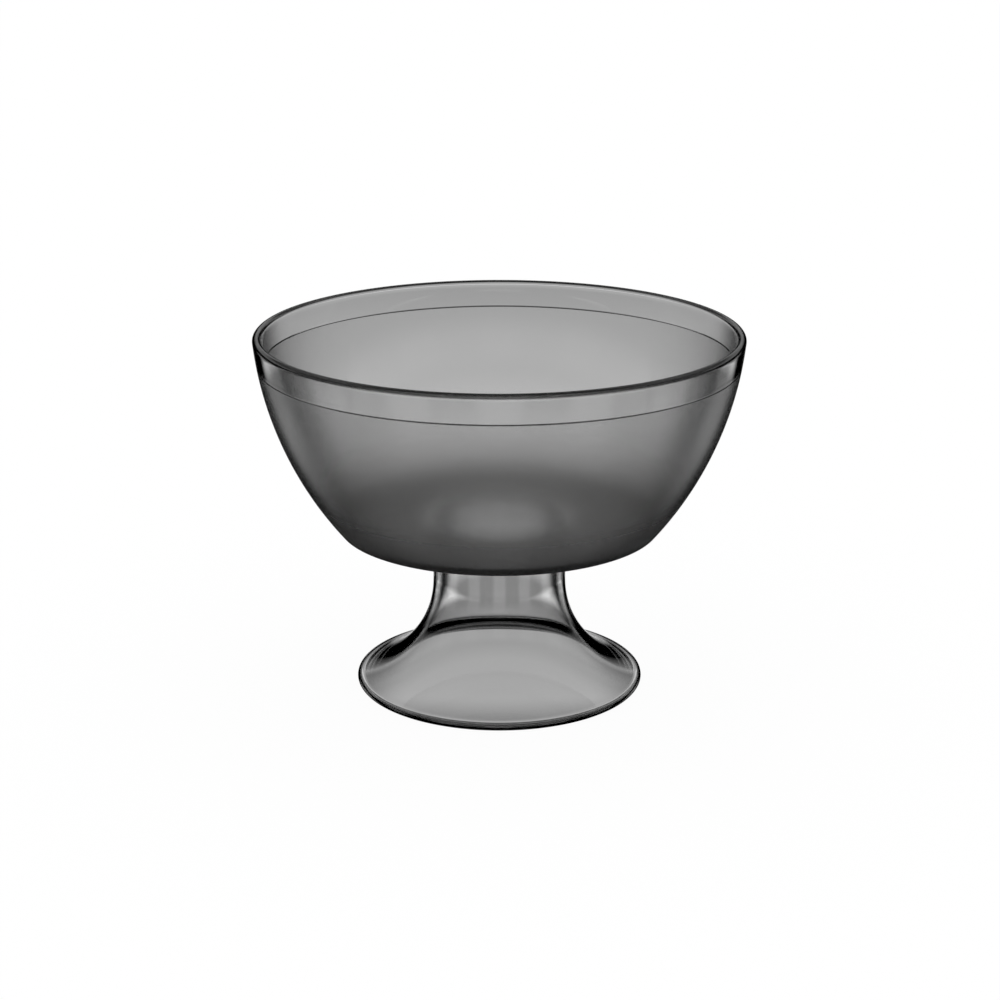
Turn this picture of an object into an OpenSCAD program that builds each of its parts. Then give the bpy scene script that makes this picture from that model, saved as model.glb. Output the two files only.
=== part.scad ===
// Footed dessert glass, moulded in smoke-tinted transparent plastic.
// An open bowl with a polished band round its lip stands on a hollow trumpet foot.
// The foot's end face seats under the bowl's floor, round a spigot ring that centres it.
// Millimetres, +Z up. The origin is the centre of the plane that the glass stands on.

/* [Bowl] */
// Outside diameter at the lip
rim_d = 120; // [110:0.5:130]
// Height of the bowl, from its flat underside to the top of the lip
bowl_h = 49.2; // [44:0.1:56]
// Outside diameter where the wall would meet the underside in a sharp corner
bowl_base_d = 79.5; // [70:0.5:88]
// Radius of the one arc that the outside of the wall follows
wall_arc_r = 88; // [75:0.5:110]
// Thickness of the wall, which is fully rounded at the lip
wall_t = 2.2; // [1.6:0.1:3]
// Thickness of the flat floor
floor_t = 2.3; // [1.8:0.1:3.5]
// Outside rounding of the bottom corner
corner_r = 0.6; // [0.3:0.1:1.5]
// Inside rounding between the wall and the floor
inner_corner_r = 1.5; // [0.5:0.1:4]

/* [Polished band] */
// Depth of the polished band, from the top of the lip to the fine groove below it
band_h = 7.15; // [5:0.05:12]
// Width of the groove that parts the polished band from the frosted wall
groove_w = 0.4; // [0.2:0.05:0.8]
// Depth of that groove
groove_depth = 0.12; // [0.05:0.01:0.3]

/* [Foot] */
// Height of the foot, from the table to its end face under the bowl
foot_h = 41.1; // [36:0.1:50]
// Outside diameter of the foot's plate
foot_d = 72; // [64:0.5:84]
// Outside diameter of the stem at its end face
stem_d = 32.8; // [28:0.1:38]
// Draft of the stem's outside, wider towards the table, in degrees
stem_draft = 0.75; // [0.25:0.05:2]
// Radius of the flare between the stem and the plate
flare_r = 25.3; // [18:0.1:28]
// Thickness of the plate's fully rounded edge
edge_t = 2.6; // [2:0.1:3.5]

/* [Foot inside] */
// Thickness of the stem's wall at its end face
stem_wall = 1.5; // [1.2:0.1:2.4]
// Draft of the bore, wider towards the table, in degrees
bore_draft = 0.5; // [0.25:0.05:1.5]
// Radius of the flare inside the foot
inner_flare_r = 30.5; // [24:0.1:32.5]
// Width of the flat ring that the glass stands on
rest_ring_w = 0.6; // [0.4:0.1:3]

/* [Joint] */
// Depth of the spigot ring under the bowl's floor
spigot_h = 3; // [2:0.1:5]
// Thickness of the spigot ring
spigot_wall = 1.6; // [1.2:0.1:2.4]
// Gap all round between the spigot ring and the mouth of the bore
spigot_gap = 0.1; // [0.05:0.01:0.2]
// Lead-in chamfer at the end of the spigot ring
lead_in = 0.4; // [0.2:0.1:0.8]

/* [Hidden] */
// Furthest that the chord of a drawn arc lies from the true arc
arc_tolerance = 0.005;
// Coarsest step of a drawn arc, in degrees
arc_step_max = 15;
$fn = 180;

// Places in the half section are [distance from the axis, height above the table].
floor_z = foot_h + floor_t;
rim_z = foot_h + bowl_h;
lip_r = wall_t / 2;
lip_centre = [rim_d / 2 - lip_r, rim_z - lip_r];
base_corner = [bowl_base_d / 2, foot_h];
wall_centre = circle_centre(lip_centre, wall_arc_r - lip_r, base_corner, wall_arc_r);
inner_arc_r = wall_arc_r - wall_t;

bore_r = stem_d / 2 - stem_wall;
spigot_r = bore_r - spigot_gap;
edge_r = edge_t / 2;
edge_centre = [foot_d / 2 - edge_r, edge_r];
rest_inner = [edge_centre[0] - rest_ring_w, 0];
stem_top = [stem_d / 2, foot_h];
bore_top = [bore_r, foot_h];

// Direction from one point to another, in degrees
function heading(from, to) = atan2(to[1] - from[1], to[0] - from[0]);

// Point at an angle on the circle of radius r about a centre
function on_circle(centre, r, angle) = centre + r * [cos(angle), sin(angle)];

// Points along an arc about a centre, from one angle to another
function arc(centre, r, from, to) =
    let (step = min(arc_step_max, 2 * acos(1 - arc_tolerance / r)))
    let (count = ceil(abs(to - from) / step))
    [for (i = [0:count]) on_circle(centre, r, from + (to - from) * i / count)];

// Centre that lies p_r from p and q_r from q, on the side nearer the axis
function circle_centre(p, p_r, q, q_r) =
    let (d = norm(q - p))
    let (along = (q - p) / d)
    let (a = (p_r * p_r - q_r * q_r + d * d) / (2 * d))
    p + a * along + sqrt(p_r * p_r - a * a) * [along[1], -along[0]];

// Centre of a rounding of radius r between a height z below and the wall arc of radius arc_r
function corner_centre(arc_r, r, z) =
    let (dz = z + r - wall_centre[1])
    [wall_centre[0] + sqrt((arc_r - r) * (arc_r - r) - dz * dz), z + r];

// Centre of a flare of radius r that touches a wall falling from top with the given draft,
// and whose centre lies p_r from p
function flare_centre(top, draft, r, p, p_r) =
    let (t = tan(draft))
    let (reach = top[0] + (top[1] - p[1]) * t + r / cos(draft) - p[0])
    let (rise = (t * reach + sqrt(p_r * p_r * (1 + t * t) - reach * reach)) / (1 + t * t))
    p + [reach - t * rise, rise];

// Outside of the bowl's wall, from the rounded bottom corner up to the lip, with its groove
function bowl_outside() =
    let (corner = corner_centre(wall_arc_r, corner_r, foot_h))
    let (low = heading(wall_centre, corner))
    let (high = heading(wall_centre, lip_centre))
    let (groove = asin((rim_z - band_h - wall_centre[1]) / wall_arc_r))
    let (half = asin(groove_w / 2 / wall_arc_r))
    concat(
        arc(corner, corner_r, -90, low),
        arc(wall_centre, wall_arc_r, low, groove - half),
        [on_circle(wall_centre, wall_arc_r - groove_depth, groove)],
        arc(wall_centre, wall_arc_r, groove + half, high),
        arc(lip_centre, lip_r, high, high + 180)
    );

// Inside of the bowl, from the lip down to the middle of the floor
function bowl_inside() =
    let (corner = corner_centre(inner_arc_r, inner_corner_r, floor_z))
    let (low = heading(wall_centre, corner))
    concat(
        arc(wall_centre, inner_arc_r, heading(wall_centre, lip_centre), low),
        arc(corner, inner_corner_r, low, -90),
        [[0, floor_z]]
    );

// Underside of the bowl, with the spigot ring that enters the foot
function bowl_underside() = [
    [0, foot_h],
    [spigot_r - spigot_wall, foot_h],
    [spigot_r - spigot_wall, foot_h - spigot_h],
    [spigot_r - lead_in, foot_h - spigot_h],
    [spigot_r, foot_h - spigot_h + lead_in],
    [spigot_r, foot_h]
];

// Outside of the foot: drafted stem, flare, rounded edge and resting ring
function foot_outside() =
    let (flare = flare_centre(stem_top, stem_draft, flare_r, edge_centre, flare_r + edge_r))
    let (edge = heading(flare, edge_centre))
    concat(
        [stem_top],
        arc(flare, flare_r, 180 + stem_draft, 360 + edge),
        arc(edge_centre, edge_r, 180 + edge, -90)
    );

// Inside of the foot, from the resting ring up through the flare and the bore
function foot_inside() =
    let (flare = flare_centre(bore_top, bore_draft, inner_flare_r, rest_inner, inner_flare_r))
    concat(
        arc(flare, inner_flare_r, 360 + heading(flare, rest_inner), 180 + bore_draft),
        [bore_top]
    );

module bowl() {
    color("dimgray", 0.7)
        rotate_extrude()
            polygon(concat(bowl_underside(), bowl_outside(), bowl_inside()));
}

module pedestal_foot() {
    color("gray", 0.6)
        rotate_extrude()
            polygon(concat(foot_outside(), foot_inside()));
}

bowl();
pedestal_foot();
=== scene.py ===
from math import asin, atan2, cos, degrees, pi, radians, sin, sqrt, tan

import bpy
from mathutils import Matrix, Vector


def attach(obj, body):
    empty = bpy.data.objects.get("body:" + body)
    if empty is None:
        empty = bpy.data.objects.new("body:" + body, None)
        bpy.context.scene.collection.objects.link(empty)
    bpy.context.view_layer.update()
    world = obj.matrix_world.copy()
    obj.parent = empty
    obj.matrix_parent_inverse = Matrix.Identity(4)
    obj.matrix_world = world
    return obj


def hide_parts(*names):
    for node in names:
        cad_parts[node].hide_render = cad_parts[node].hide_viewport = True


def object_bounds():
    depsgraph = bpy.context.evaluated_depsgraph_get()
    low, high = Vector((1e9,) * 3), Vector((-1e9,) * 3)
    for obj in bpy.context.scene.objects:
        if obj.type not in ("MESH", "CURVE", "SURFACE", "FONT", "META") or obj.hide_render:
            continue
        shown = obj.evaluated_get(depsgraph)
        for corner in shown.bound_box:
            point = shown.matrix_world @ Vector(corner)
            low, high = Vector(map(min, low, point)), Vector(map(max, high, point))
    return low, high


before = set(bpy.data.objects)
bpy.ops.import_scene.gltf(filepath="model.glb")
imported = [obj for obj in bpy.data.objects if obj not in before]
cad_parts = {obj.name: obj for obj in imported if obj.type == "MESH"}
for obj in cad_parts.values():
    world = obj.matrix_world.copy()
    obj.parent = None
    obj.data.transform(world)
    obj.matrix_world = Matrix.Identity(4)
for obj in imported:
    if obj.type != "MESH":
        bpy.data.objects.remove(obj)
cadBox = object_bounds()
mm = 0.001


def toLinear(hexColor, alpha=1.0):
    # sRGB hex, such as "8a8a8c", to the linear values that Blender's sockets take
    shares = [int(hexColor[i:i + 2], 16) / 255 for i in (0, 2, 4)]
    return [s / 12.92 if s <= 0.04045 else ((s + 0.055) / 1.055) ** 2.4 for s in shares] + [alpha]


def addNode(tree, kind, sockets=None, **settings):
    # a node with its settings; a socket takes a value, or another node's output as its link
    node = tree.nodes.new(kind)
    for name, value in settings.items():
        setattr(node, name, value)
    for name, value in (sockets or {}).items():
        if isinstance(value, bpy.types.NodeSocket):
            tree.links.new(value, node.inputs[name])
        else:
            node.inputs[name].default_value = value
    return node


def addMath(tree, operation, first, second=0.0):
    return addNode(tree, "ShaderNodeMath", {0: first, 1: second}, operation=operation).outputs[0]


# camera: the photograph's viewing angle, in mm and degrees
cameraSizes = {"x": 0.16, "y": -546.07, "z": 220.79, "pitch": 17.638, "lens": 82.786, "sensor": 36}

cameraData = bpy.data.cameras.new("camera")
cameraData.lens = cameraSizes["lens"]
cameraData.sensor_width = cameraSizes["sensor"]
camera = bpy.data.objects.new("camera", cameraData)
camera.location = Vector([cameraSizes[k] for k in "xyz"]) * mm
camera.rotation_euler = (radians(90 - cameraSizes["pitch"]), 0, 0)
bpy.context.collection.objects.link(camera)
bpy.context.scene.camera = camera
print("camera placed")


# half sections are lists of (distance from the axis, height, how frosted it is), lengths in mm
def onCircle(centre, r, angle):
    return (centre[0] + r * cos(radians(angle)), centre[1] + r * sin(radians(angle)))


def arcPoints(centre, r, start, end, count):
    return [onCircle(centre, r, start + (end - start) * i / count) for i in range(count + 1)]


def linePoints(a, b, count):
    # points from a towards b, with b itself left to whatever follows
    return [(a[0] + (b[0] - a[0]) * i / count, a[1] + (b[1] - a[1]) * i / count) for i in range(count)]


def heading(a, b):
    return degrees(atan2(b[1] - a[1], b[0] - a[0]))


def circleCentre(p, pR, q, qR):
    # centre that lies pR from p and qR from q, on the side nearer the axis
    d = sqrt((q[0] - p[0]) ** 2 + (q[1] - p[1]) ** 2)
    along = ((q[0] - p[0]) / d, (q[1] - p[1]) / d)
    a = (pR * pR - qR * qR + d * d) / (2 * d)
    h = sqrt(pR * pR - a * a)
    return (p[0] + a * along[0] + h * along[1], p[1] + a * along[1] - h * along[0])


def surfaced(points, frost):
    return [(r, z, frost) for r, z in points]


# lathe: a grid with one row for each point of the section, wrapped round the axis
latheSizes = {"weld": 0.0005, "sharpAngle": 25}


def latheTree():
    tree = bpy.data.node_groups.new("lathe", "GeometryNodeTree")
    sockets = [("Section", "NodeSocketGeometry"), ("Segments", "NodeSocketInt"),
               ("Weld distance", "NodeSocketFloat"), ("Sharp angle", "NodeSocketFloat"),
               ("Material", "NodeSocketMaterial")]
    for name, kind in sockets:
        tree.interface.new_socket(name, in_out="INPUT", socket_type=kind)
    tree.interface.new_socket("Piece", in_out="OUTPUT", socket_type="NodeSocketGeometry")
    given = addNode(tree, "NodeGroupInput").outputs
    size = addNode(tree, "GeometryNodeAttributeDomainSize", {"Geometry": given["Section"]})
    count = size.outputs["Point Count"]
    rings = addMath(tree, "ADD", given["Segments"], 1.0)
    grid = addNode(tree, "GeometryNodeMeshGrid", {"Vertices X": rings, "Vertices Y": count})
    # the grid counts along Y first, so the row is the remainder and the turn is the quotient
    index = addNode(tree, "GeometryNodeInputIndex").outputs[0]
    row = addMath(tree, "MODULO", index, count)
    turn = addMath(tree, "FLOOR", addMath(tree, "DIVIDE", index, count))
    angle = addMath(tree, "MULTIPLY", addMath(tree, "DIVIDE", turn, given["Segments"]), 2 * pi)
    place = addNode(tree, "GeometryNodeInputPosition").outputs[0]
    point = addNode(tree, "GeometryNodeSampleIndex",
                    {"Geometry": given["Section"], "Value": place, "Index": row},
                    data_type="FLOAT_VECTOR")
    turned = addNode(tree, "ShaderNodeVectorRotate", {"Vector": point.outputs[0], "Angle": angle},
                     rotation_type="Z_AXIS")
    frost = addNode(tree, "GeometryNodeInputNamedAttribute", {"Name": "frost"}, data_type="FLOAT")
    frosted = addNode(tree, "GeometryNodeSampleIndex",
                      {"Geometry": given["Section"], "Value": frost.outputs[0], "Index": row},
                      data_type="FLOAT")
    kept = addNode(tree, "GeometryNodeStoreNamedAttribute",
                   {"Geometry": grid.outputs["Mesh"], "Name": "frost", "Value": frosted.outputs[0]},
                   data_type="FLOAT", domain="POINT")
    wrapped = addNode(tree, "GeometryNodeSetPosition",
                      {"Geometry": kept.outputs[0], "Position": turned.outputs[0]})
    # the weld closes the seam and both poles
    welded = addNode(tree, "GeometryNodeMergeByDistance",
                     {"Geometry": wrapped.outputs[0], "Distance": given["Weld distance"]})
    smooth = addNode(tree, "GeometryNodeSetShadeSmooth", {"Geometry": welded.outputs[0]}, domain="FACE")
    corner = addNode(tree, "GeometryNodeInputMeshEdgeAngle").outputs["Unsigned Angle"]
    isSharp = addNode(tree, "FunctionNodeCompare", {"A": corner, "B": given["Sharp angle"]},
                      data_type="FLOAT", operation="GREATER_THAN")
    crisp = addNode(tree, "GeometryNodeSetShadeSmooth",
                    {"Geometry": smooth.outputs[0], "Selection": isSharp.outputs[0],
                     "Shade Smooth": False}, domain="EDGE")
    real = addNode(tree, "GeometryNodeRealizeInstances", {"Geometry": crisp.outputs[0]})
    coated = addNode(tree, "GeometryNodeSetMaterial",
                     {"Geometry": real.outputs[0], "Material": given["Material"]})
    addNode(tree, "NodeGroupOutput", {"Piece": coated.outputs[0]})
    return tree


lathe = latheTree()
print("lathe tree built")


def turnPiece(name, section, segments, material):
    mesh = bpy.data.meshes.new(name + "Section")
    mesh.from_pydata([(r * mm, 0, z * mm) for r, z, frost in section],
                     [(i, i + 1) for i in range(len(section) - 1)], [])
    attribute = mesh.attributes.new("frost", "FLOAT", "POINT")
    attribute.data.foreach_set("value", [frost for r, z, frost in section])
    piece = bpy.data.objects.new(name, mesh)
    bpy.context.collection.objects.link(piece)
    modifier = piece.modifiers.new("lathe", "NODES")
    modifier.node_group = lathe
    values = {"Segments": segments, "Weld distance": latheSizes["weld"] * mm,
              "Sharp angle": radians(latheSizes["sharpAngle"]), "Material": material}
    for item in lathe.interface.items_tree:
        if item.in_out == "INPUT" and item.name in values:
            modifier[item.identifier] = values[item.name]
    depsgraph = bpy.context.evaluated_depsgraph_get()
    solid = bpy.data.meshes.new_from_object(piece.evaluated_get(depsgraph), depsgraph=depsgraph)
    piece.modifiers.clear()
    piece.data = solid
    solid.name = name
    print(name, len(solid.vertices), "vertices", len(solid.polygons), "faces")
    return piece


# sizes and heights in mm, density per metre; the grain is 0.15 mm on the real wall, and is drawn at
# 0.6 mm so that it shows at all
smoke = {
    "surface": "ffffff", "ior": 1.59, "tint": "000000", "density": 105, "polish": 0.015, "rubbed": 0.04,
    "satinLow": 0.22, "satinHigh": 0.225, "flowDetail": 1.0, "flowHeight": 0.02,
    "rubbingDetail": 4.0, "rubbingSpan": (0.4, 0.8), "grainSize": 0.6, "grainDetail": 2.0,
    "grainSpan": (0.3, 0.7), "grainHeight": 0.006,
}


# Smoke-tinted clear polystyrene, injection moulded. Where the tool was polished, the surface is
# glossy, with a slow waviness where the melt flowed and chilled, and faint rubbing from washing.
# Where the tool was blasted, it is an even satin with a fine grain. The tint is in the plastic.
def smokePlastic(name, look):
    material = bpy.data.materials.new(name)
    material.use_nodes = True
    tree = material.node_tree
    tree.nodes.clear()
    place = addNode(tree, "ShaderNodeTexCoord").outputs["Object"]

    def noise(kind):
        return addNode(tree, "ShaderNodeTexNoise",
                       {"Vector": place, "Scale": 1 / (look[kind + "Size"] * mm),
                        "Detail": look[kind + "Detail"]}).outputs[0]

    def spread(value, span, low, high):
        return addNode(tree, "ShaderNodeMapRange",
                       {"Value": value, "From Min": span[0], "From Max": span[1],
                        "To Min": low, "To Max": high}).outputs[0]

    frost = addNode(tree, "ShaderNodeAttribute", attribute_name="frost").outputs["Fac"]
    flow = noise("flow")
    grain = noise("grain")
    polished = spread(noise("rubbing"), look["rubbingSpan"], look["polish"], look["rubbed"])
    satin = spread(grain, look["grainSpan"], look["satinLow"], look["satinHigh"])
    # frost above 1 stands for a harder blast, so the mix isn't clamped
    rough = addNode(tree, "ShaderNodeMix", {0: frost, 2: polished, 3: satin},
                    data_type="FLOAT", clamp_factor=False).outputs[0]
    # heights in metres: the flow mark everywhere, the blasted grain only where it is frosted
    waves = addMath(tree, "MULTIPLY", flow, look["flowHeight"] * mm)
    pits = addMath(tree, "MULTIPLY", addMath(tree, "MULTIPLY", grain, frost), look["grainHeight"] * mm)
    relief = addNode(tree, "ShaderNodeBump",
                     {"Height": addMath(tree, "ADD", waves, pits), "Distance": 1.0}).outputs[0]
    surface = addNode(tree, "ShaderNodeBsdfPrincipled",
                      {"Base Color": toLinear(look["surface"]), "IOR": look["ior"],
                       "Transmission Weight": 1.0, "Roughness": rough, "Normal": relief})
    inside = addNode(tree, "ShaderNodeVolumeAbsorption",
                     {"Color": toLinear(look["tint"]), "Density": look["density"]})
    addNode(tree, "ShaderNodeOutputMaterial",
            {"Surface": surface.outputs[0], "Volume": inside.outputs[0]})
    return material


# bowl: the rim's radius is taken from the CAD's box, so that the piece stays inside it
bowlSizes = {
    "footH": 41.1, "bowlH": 49.2, "baseD": 79.5, "wallArcR": 88, "wallT": 2.2, "floorT": 2.3,
    "cornerR": 0.6, "innerCornerR": 1.5, "bandH": 7.15, "grooveW": 0.4, "grooveDepth": 0.12,
    "spigotH": 3, "spigotR": 14.8, "spigotWall": 1.6, "leadIn": 0.4,
    "segments": 512, "wallSteps": 56, "bandSteps": 10, "lipSteps": 20, "cornerSteps": 8, "flatSteps": 4,
    "underFrost": 2.7, "fadeZ": 56,
}
bowlLook = {**smoke, "flowSize": 22, "rubbingSize": 5}


def bowlSection(s, rimR):
    lipR = s["wallT"] / 2
    rimZ = s["footH"] + s["bowlH"]
    lip = (rimR - lipR, rimZ - lipR)
    wall = circleCentre(lip, s["wallArcR"] - lipR, (s["baseD"] / 2, s["footH"]), s["wallArcR"])
    innerR = s["wallArcR"] - s["wallT"]

    def cornerCentre(arcR, r, z):
        dz = z + r - wall[1]
        return (wall[0] + sqrt((arcR - r) ** 2 - dz * dz), z + r)

    floorZ = s["footH"] + s["floorT"]
    outer = cornerCentre(s["wallArcR"], s["cornerR"], s["footH"])
    inner = cornerCentre(innerR, s["innerCornerR"], floorZ)
    outerTurn = heading(wall, outer)
    innerTurn = heading(wall, inner)
    high = heading(wall, lip)
    groove = degrees(asin((rimZ - s["bandH"] - wall[1]) / s["wallArcR"]))
    half = degrees(asin(s["grooveW"] / 2 / s["wallArcR"]))
    grooveR = s["wallArcR"] - s["grooveDepth"]
    low = s["footH"] - s["spigotH"]
    ring = s["spigotR"]
    ringIn = ring - s["spigotWall"]
    spigot = [(ringIn, low), (ring - s["leadIn"], low), (ring, low + s["leadIn"])]
    # the outside was blasted from the stem to the groove, hardest on the underside and fading up the
    # wall to an even satin; what the stem covers was left glossy
    points = surfaced(linePoints((0, s["footH"]), (ringIn, s["footH"]), s["flatSteps"]), 0)
    points += surfaced([(ringIn, s["footH"])] + spigot + [(ring, s["footH"])], 0)
    under = linePoints((ring, s["footH"]), (outer[0], s["footH"]), s["flatSteps"])[1:]
    points += surfaced(under, s["underFrost"])
    side = arcPoints(outer, s["cornerR"], -90, outerTurn, s["cornerSteps"])
    side += arcPoints(wall, s["wallArcR"], outerTurn, groove - half, s["wallSteps"])[1:]
    for r, z in side:
        fade = max(0, (s["fadeZ"] - z) / (s["fadeZ"] - s["footH"]))
        points.append((r, z, 1 + (s["underFrost"] - 1) * fade * fade))
    points += surfaced([onCircle(wall, grooveR, groove)], 0)
    points += surfaced(arcPoints(wall, s["wallArcR"], groove + half, high, s["bandSteps"]), 0)
    points += surfaced(arcPoints(lip, lipR, high, high + 180, s["lipSteps"])[1:], 0)
    points += surfaced(arcPoints(wall, innerR, high, innerTurn, s["wallSteps"])[1:], 0)
    points += surfaced(arcPoints(inner, s["innerCornerR"], innerTurn, -90, s["cornerSteps"])[1:], 0)
    points += surfaced(linePoints((inner[0], floorZ), (0, floorZ), s["flatSteps"])[1:], 0)
    return points + [(0, floorZ, 0)]


rimR = min(cadBox[1][0], cadBox[1][1], -cadBox[0][0], -cadBox[0][1]) / mm
bowlPlastic = smokePlastic("smoke polystyrene, frosted outside", bowlLook)
bowl = turnPiece("dessertBowl", bowlSection(bowlSizes, rimR), bowlSizes["segments"], bowlPlastic)

# foot: its end face stops a hair short of the bowl, so that the two surfaces never lie in one plane
footSizes = {
    "footH": 41.1, "joint": 0.03, "footD": 72, "stemD": 32.8, "draft": 0.75, "flareR": 25.3,
    "edgeT": 2.6, "stemWall": 1.5, "boreDraft": 0.5, "innerFlareR": 30.5, "restW": 0.6,
    "segments": 480, "flareSteps": 56, "edgeSteps": 24, "stemSteps": 6,
}
footLook = {**smoke, "flowSize": 18, "rubbingSize": 4}


def flareCentre(top, draft, r, p, pR):
    # centre of a flare that touches the drafted wall falling from top and lies pR from p
    t = tan(radians(draft))
    reach = top[0] + (top[1] - p[1]) * t + r / cos(radians(draft)) - p[0]
    rise = (t * reach + sqrt(pR * pR * (1 + t * t) - reach * reach)) / (1 + t * t)
    return (p[0] + reach - t * rise, p[1] + rise)


def footSection(s):
    edgeR = s["edgeT"] / 2
    edge = (s["footD"] / 2 - edgeR, edgeR)
    rest = (edge[0] - s["restW"], 0)
    top = s["footH"] - s["joint"]
    stem = (s["stemD"] / 2, top)
    bore = (s["stemD"] / 2 - s["stemWall"], top)
    outer = flareCentre(stem, s["draft"], s["flareR"], edge, s["flareR"] + edgeR)
    inner = flareCentre(bore, s["boreDraft"], s["innerFlareR"], rest, s["innerFlareR"])
    out = heading(outer, edge)
    restAngle = 360 + heading(inner, rest)
    # up the bore and round to the stem's foot, so that the faces point outwards
    points = linePoints(stem, bore, 1)
    points += linePoints(bore, onCircle(inner, s["innerFlareR"], 180 + s["boreDraft"]), s["stemSteps"])
    points += arcPoints(inner, s["innerFlareR"], 180 + s["boreDraft"], restAngle, s["flareSteps"])
    points += arcPoints(edge, edgeR, -90, 180 + out, s["edgeSteps"])[:-1]
    points += arcPoints(outer, s["flareR"], 360 + out, 180 + s["draft"], s["flareSteps"])
    points += linePoints(onCircle(outer, s["flareR"], 180 + s["draft"]), stem, s["stemSteps"])[1:]
    return surfaced(points + [stem], 0)


footPlastic = smokePlastic("smoke polystyrene, polished", footLook)
foot = turnPiece("trumpetFoot", footSection(footSizes), footSizes["segments"], footPlastic)

for piece, node, slotName in ((bowl, "bowl", "smoke_bowl"), (foot, "pedestal_foot", "smoke_foot")):
    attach(piece, "root")
    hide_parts(node)
print("pieces ride on root and stand in for their CAD nodes")

# floor: matt paper that glows white for the camera, 6 m each way and a hair below the resting ring;
# the plastic shows the studio instead of it
floorSizes = {"reach": 6, "drop": 0.02 * mm, "paper": "4a4a4a", "glow": 0.95}

reach = floorSizes["reach"]
floorMesh = bpy.data.meshes.new("floor")
floorMesh.from_pydata([(-reach, -reach, 0), (reach, -reach, 0), (reach, reach, 0), (-reach, reach, 0)],
                      [], [(0, 1, 2, 3)])
floor = bpy.data.objects.new("floor", floorMesh)
floor.location.z = -floorSizes["drop"]
bpy.context.collection.objects.link(floor)
floorPaper = bpy.data.materials.new("floor paper")
floorPaper.use_nodes = True
tree = floorPaper.node_tree
tree.nodes.clear()
paper = addNode(tree, "ShaderNodeBsdfDiffuse", {"Color": toLinear(floorSizes["paper"])})
glow = addNode(tree, "ShaderNodeEmission", {"Color": toLinear("ffffff"), "Strength": floorSizes["glow"]})
both = addNode(tree, "ShaderNodeAddShader", {0: paper.outputs[0], 1: glow.outputs[0]})
addNode(tree, "ShaderNodeOutputMaterial", {"Surface": both.outputs[0]})
floorMesh.materials.append(floorPaper)
floor.visible_transmission = False
floor.visible_glossy = False
floor.visible_diffuse = False
print("floor laid")

# Studio: eight soft panels stand round the glass, with dark gaps between them that draw its edges.
# Each list gives the level of light by height above the horizon, in degrees, as the plastic shows it.
# A panel's soft side edge runs from panelDark to panelBright, on the cosine of the eightfold bearing.
studio = {
    "panels": 8, "panelDark": -0.4, "panelBright": 0.65, "backdrop": 1.0,
    "panel": [(-90, 0.1), (-82, 0.1), (-72, 0), (-42, 0), (-32, 0.3), (-27, 0.54), (-21, 0.39),
              (-19.5, 0.38), (-17.5, 1.15), (-15.5, 0.54), (-13.5, 0.55), (-12, 0.43), (-9, 0.5), (-3, 0),
              (8, 0), (15, 0.6), (21, 0.6), (27, 0.15), (45, 0.6), (60, 0.3), (75, 0.12), (90, 0.1)],
    "gap": [(-90, 0.1), (-82, 0.1), (-72, 0), (8, 0), (15, 0.5), (21, 0.5), (27, 0.15), (45, 0.6), (60, 0.3),
            (75, 0.12), (90, 0.1)],
    "overhead": [(0, 0.2), (30, 0.6), (55, 0.9), (90, 1.0)],
}

world = bpy.data.worlds.new("studio")
bpy.context.scene.world = world
world.use_nodes = True
tree = world.node_tree
tree.nodes.clear()
way = addNode(tree, "ShaderNodeTexCoord").outputs["Generated"]
axes = addNode(tree, "ShaderNodeSeparateXYZ", {0: way}).outputs
height = addNode(tree, "ShaderNodeMapRange", {"Value": addMath(tree, "ARCSINE", axes["Z"]),
                                              "From Min": -pi / 2, "From Max": pi / 2}).outputs[0]


def levels(stops):
    ramp = addNode(tree, "ShaderNodeValToRGB", {"Fac": height})
    elements = ramp.color_ramp.elements
    while len(elements) > 1:
        elements.remove(elements[-1])
    top = max(level for degree, level in stops)
    for i, (degree, level) in enumerate(stops):
        place = (degree + 90) / 180
        element = elements[0] if i == 0 else elements.new(place)
        element.position = place
        element.color = (level / top, level / top, level / top, 1)
    return addMath(tree, "MULTIPLY", ramp.outputs[0], top)


folds = addMath(tree, "MULTIPLY", addMath(tree, "ARCTAN2", axes["X"], axes["Y"]), studio["panels"])
panel = addNode(tree, "ShaderNodeMapRange",
                {"Value": addMath(tree, "COSINE", folds), "From Min": studio["panelDark"],
                 "From Max": studio["panelBright"]}, interpolation_type="SMOOTHSTEP").outputs[0]
surround = addNode(tree, "ShaderNodeMix", {0: panel, 2: levels(studio["gap"]), 3: levels(studio["panel"])},
                   data_type="FLOAT").outputs[0]
# what the plastic reflects or lets through is the studio; the camera sees the plain white backdrop
ray = addNode(tree, "ShaderNodeLightPath").outputs
glassy = addMath(tree, "MAXIMUM", ray["Is Glossy Ray"], ray["Is Transmission Ray"])
lit = addNode(tree, "ShaderNodeMix", {0: glassy, 2: levels(studio["overhead"]), 3: surround},
              data_type="FLOAT").outputs[0]
seen = addNode(tree, "ShaderNodeMix", {0: ray["Is Camera Ray"], 2: lit, 3: studio["backdrop"]},
               data_type="FLOAT").outputs[0]
backdrop = addNode(tree, "ShaderNodeBackground", {"Color": toLinear("ffffff"), "Strength": seen})
addNode(tree, "ShaderNodeOutputWorld", {"Surface": backdrop.outputs[0]})
bpy.context.scene.view_settings.view_transform = "Standard"
print("studio lit")
